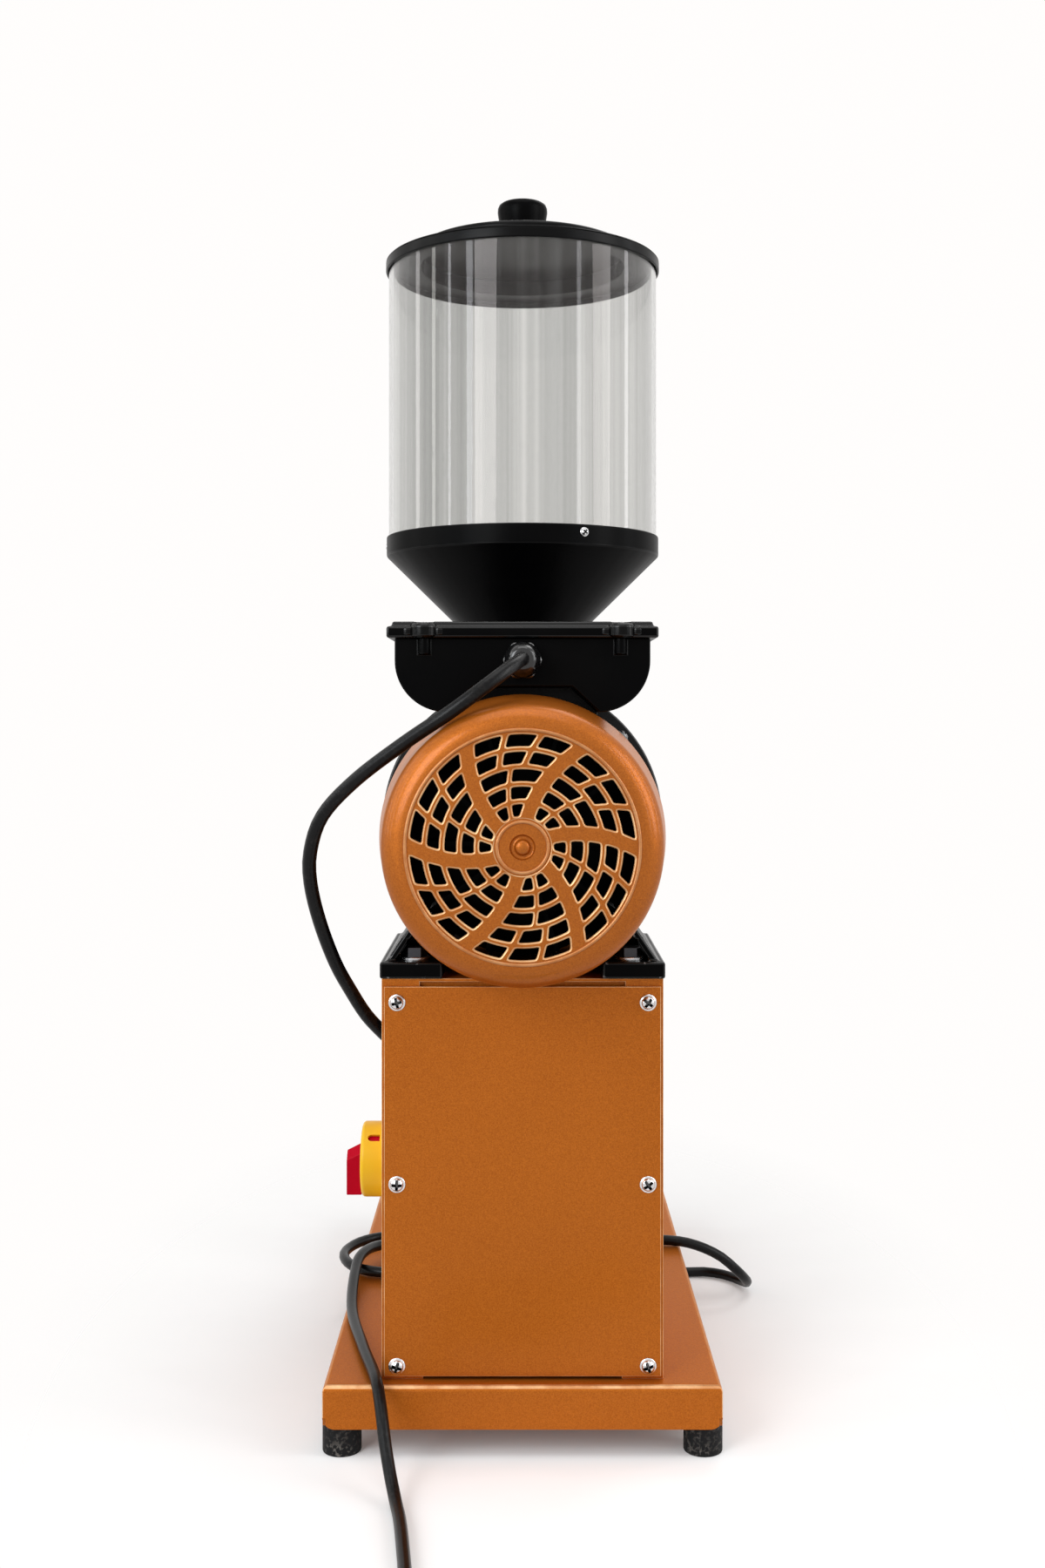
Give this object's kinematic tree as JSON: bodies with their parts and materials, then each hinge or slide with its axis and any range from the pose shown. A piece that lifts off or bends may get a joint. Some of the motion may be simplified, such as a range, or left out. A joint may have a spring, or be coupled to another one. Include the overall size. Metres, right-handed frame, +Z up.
{
  "type": "electric coffee grinder",
  "caption": "Shop coffee grinder: foot-mounted motor with a swirled fan grille on an orange sheet-metal column, a burr head, a spout and a tall clear hopper with a knobbed lid.",
  "frame": {"origin": "floor centre of the machine's bounding box, without its cables", "axes": "+Z up, the motor's fan cowl faces -Y, the spout and adjusting wheel face +Y"},
  "size_m": [0.2961, 0.692, 0.788],
  "materials": {
    "orange_paint": "metallic orange powder paint with fine sparkle",
    "black_paint": "satin black paint on castings",
    "black_plastic": "satin black moulding",
    "clear_acrylic": "clear acrylic tube",
    "black_rubber": "worn black rubber",
    "cable_sheath": "dark grey rubber sheath",
    "zinc_steel": "bright zinc plate",
    "black_bolts": "blackened steel",
    "yellow_plastic": "yellow moulding",
    "red_plastic": "red moulding",
    "bright_steel": "bright steel",
    "core_steel": "laminated steel",
    "tool_steel": "hardened steel",
    "cast_grey": "machined casting",
    "grey_can": "grey capacitor can",
    "ivory_plastic": "ivory moulding"
  },
  "bodies": {
    "frame": {"base_pan": "orange_paint", "rubber_feet": "black_rubber", "column_shell": "orange_paint", "column_bolts": "zinc_steel", "rear_cover": "orange_paint", "cover_screws": "zinc_steel", "switch_plate_yellow": "yellow_plastic", "switch_body": "black_plastic", "cable_grommet": "black_rubber", "motor_feet": "black_paint", "foot_bolts": "black_bolts", "motor_housing": "black_paint", "rear_end_shield": "black_paint", "front_end_shield": "black_paint", "rear_bearing": "bright_steel", "front_bearing": "bright_steel", "stator_core": "core_steel", "fan_cowl": "orange_paint", "cowl_screws": "zinc_steel", "terminal_box": "black_plastic", "box_lid": "black_plastic", "box_screws": "zinc_steel", "cable_gland": "black_plastic", "capacitors": "grey_can", "terminal_block": "ivory_plastic", "head_housing": "black_paint", "head_bolts": "black_bolts", "front_cover": "black_paint", "front_bolts": "zinc_steel", "wheel_retainer": "cast_grey", "spout": "bright_steel", "spout_screws": "zinc_steel", "clip_pin": "zinc_steel", "hopper_funnel": "black_plastic", "hopper_tube": "clear_acrylic", "funnel_screws": "zinc_steel", "motor_cable": "cable_sheath", "mains_grip": "black_rubber", "mains_lead": "cable_sheath", "mains_coil": "cable_sheath", "cord_tie": "black_plastic", "mains_plug": "black_plastic"},
    "rotor": {"motor_shaft": "bright_steel", "rotor_core": "core_steel", "cooling_fan": "black_plastic", "feed_screw": "bright_steel", "burr_disc": "cast_grey", "rotating_burr": "tool_steel"},
    "burr_slide": {"burr_carrier": "cast_grey", "stationary_burr": "tool_steel"},
    "grind_wheel": {"adjusting_wheel": "black_plastic"},
    "switch_knob": {"switch_handle": "red_plastic"},
    "lid": {"hopper_lid": "black_plastic", "lid_knob": "black_plastic"},
    "clip": {"bag_clip": "bright_steel"}
  },
  "joints": [
    {"name": "rotor_spin", "type": "hinge", "parent": "frame", "child": "rotor", "pos_m": [0, 0, 0.352], "axis": [0, 1, 0], "continuous": true},
    {"name": "grind_turn", "type": "hinge", "parent": "frame", "child": "grind_wheel", "pos_m": [0, 0.15, 0.352], "axis": [0, 1, 0], "range_deg": [0, 288]},
    {"name": "burr_travel", "type": "slide", "parent": "frame", "child": "burr_slide", "axis": [0, 1, 0], "range_m": [0, 0.0012]},
    {"name": "switch_turn", "type": "hinge", "parent": "frame", "child": "switch_knob", "pos_m": [-0.095, -0.139, 0.158], "axis": [1, 0, 0], "range_deg": [0, 90]},
    {"name": "lid_lift", "type": "slide", "parent": "frame", "child": "lid", "axis": [0, 0, 1], "range_m": [0, 0.12]},
    {"name": "clip_open", "type": "hinge", "parent": "frame", "child": "clip", "pos_m": [0, 0.133, 0.225], "axis": [1, 0, 0], "range_deg": [0, 30], "stiffness_Nm_per_rad": 0.3, "springref_deg": -17.19}
  ],
  "couplings": [
    {"joint": "burr_travel", "follows": "grind_turn", "m_per_rad": 0.000238}
  ]
}
